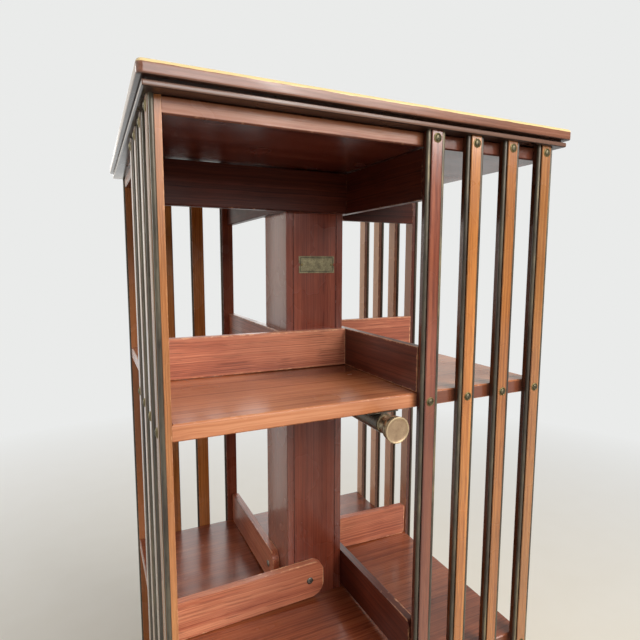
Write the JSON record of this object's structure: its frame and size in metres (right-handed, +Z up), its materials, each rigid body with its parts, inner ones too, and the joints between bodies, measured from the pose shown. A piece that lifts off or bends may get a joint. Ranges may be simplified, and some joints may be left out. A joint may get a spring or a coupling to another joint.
{
  "type": "revolving bookcase",
  "caption": "Square revolving bookcase: open shelves with slatted sides around a hollow column, swinging book bars, a screw brake and a cast cross base.",
  "frame": {"origin": "on the floor under the post's axis, at the middle of the four feet", "axes": "+Z up along the post; -Y towards the side with the brake knob and the blank plate; +X to the right when facing that side"},
  "size_m": [0.52, 0.527, 1.201],
  "materials": {
    "slab_wood": "varnished mahogany, satin",
    "case_wood": "varnished mahogany, glossy",
    "column_wood": "dark varnished mahogany, satin",
    "slat_wood": "varnished mahogany, satin",
    "rail_wood": "varnished mahogany, satin",
    "patinated_brass": "brown and green patina, worn at the edges",
    "screw_bronze": "dull green-grey patina",
    "plate_brass": "aged, satin",
    "knob_brass": "handled, satin",
    "black_iron": "black, semi-gloss",
    "steel": "turned, oiled",
    "pad_leather": "matt"
  },
  "bodies": {
    "stand": {"iron_base": "black_iron", "post": "steel"},
    "case": {"top_slab": "slab_wood", "top_board": "case_wood", "upper_shelf": "case_wood", "lower_shelf": "case_wood", "bottom_board": "case_wood", "column_front_board": "column_wood", "column_right_board": "column_wood", "column_back_board": "column_wood", "column_left_board": "column_wood", "front_slat_1": "slat_wood", "front_slat_2": "slat_wood", "front_slat_3": "slat_wood", "front_slat_4": "slat_wood", "right_slat_1": "slat_wood", "right_slat_2": "slat_wood", "right_slat_3": "slat_wood", "right_slat_4": "slat_wood", "back_slat_1": "slat_wood", "back_slat_2": "slat_wood", "back_slat_3": "slat_wood", "back_slat_4": "slat_wood", "left_slat_1": "slat_wood", "left_slat_2": "slat_wood", "left_slat_3": "slat_wood", "left_slat_4": "slat_wood", "front_slat_rods": "patinated_brass", "right_slat_rods": "patinated_brass", "back_slat_rods": "patinated_brass", "left_slat_rods": "patinated_brass", "top_front_rail": "rail_wood", "top_right_rail": "rail_wood", "top_back_rail": "rail_wood", "top_left_rail": "rail_wood", "upper_front_book_rail": "rail_wood", "upper_right_book_rail": "rail_wood", "upper_back_book_rail": "rail_wood", "upper_left_book_rail": "rail_wood", "bar_pivot_screws": "screw_bronze", "blank_plate": "plate_brass", "brake_tube": "black_iron", "brake_plate": "black_iron", "top_bearing": "black_iron", "bottom_bush": "knob_brass"},
    "middle_front_bar": {"middle_front_book_bar": "rail_wood"},
    "middle_right_bar": {"middle_right_book_bar": "rail_wood"},
    "middle_back_bar": {"middle_back_book_bar": "rail_wood"},
    "middle_left_bar": {"middle_left_book_bar": "rail_wood"},
    "lower_front_bar": {"lower_front_book_bar": "rail_wood"},
    "lower_right_bar": {"lower_right_book_bar": "rail_wood"},
    "lower_back_bar": {"lower_back_book_bar": "rail_wood"},
    "lower_left_bar": {"lower_left_book_bar": "rail_wood"},
    "knob": {"brake_knob": "knob_brass", "brake_screw": "steel"},
    "plunger": {"brake_plunger": "steel", "brake_pad": "pad_leather"}
  },
  "joints": [
    {"name": "case_turn", "type": "hinge", "parent": "stand", "child": "case", "pos_m": [0, 0, 0.6], "axis": [0, 0, 1], "continuous": true},
    {"name": "middle_front_bar_swing", "type": "hinge", "parent": "case", "child": "middle_front_bar", "pos_m": [-0.013, -0.0513, 0.5425], "axis": [0, 1, 0], "range_deg": [0, 91.4]},
    {"name": "middle_right_bar_swing", "type": "hinge", "parent": "case", "child": "middle_right_bar", "pos_m": [0.0513, -0.013, 0.5425], "axis": [-1, 0, 0], "range_deg": [-3.6, 87.8]},
    {"name": "middle_back_bar_swing", "type": "hinge", "parent": "case", "child": "middle_back_bar", "pos_m": [0.013, 0.0513, 0.5425], "axis": [0, -1, 0], "range_deg": [0, 91.4]},
    {"name": "middle_left_bar_swing", "type": "hinge", "parent": "case", "child": "middle_left_bar", "pos_m": [-0.0513, 0.013, 0.5425], "axis": [1, 0, 0], "range_deg": [0, 91.4]},
    {"name": "lower_front_bar_swing", "type": "hinge", "parent": "case", "child": "lower_front_bar", "pos_m": [-0.013, -0.0513, 0.1725], "axis": [0, 1, 0], "range_deg": [0, 91.4]},
    {"name": "lower_right_bar_swing", "type": "hinge", "parent": "case", "child": "lower_right_bar", "pos_m": [0.0513, -0.013, 0.1725], "axis": [-1, 0, 0], "range_deg": [0, 91.4]},
    {"name": "lower_back_bar_swing", "type": "hinge", "parent": "case", "child": "lower_back_bar", "pos_m": [0.013, 0.0513, 0.1725], "axis": [0, -1, 0], "range_deg": [0, 91.4]},
    {"name": "lower_left_bar_swing", "type": "hinge", "parent": "case", "child": "lower_left_bar", "pos_m": [-0.0513, 0.013, 0.1725], "axis": [1, 0, 0], "range_deg": [0, 91.4]},
    {"name": "brake_knob_turn", "type": "hinge", "parent": "case", "child": "knob", "pos_m": [0, -0.24, 0.84805], "axis": [0, 1, 0], "range_deg": [0, 360]},
    {"name": "brake_plunger_slide", "type": "slide", "parent": "case", "child": "plunger", "axis": [0, 1, 0], "range_m": [0, 0.002]}
  ],
  "couplings": [
    {"joint": "brake_knob_turn", "follows": "brake_plunger_slide", "rad_per_m": 3141.6}
  ]
}
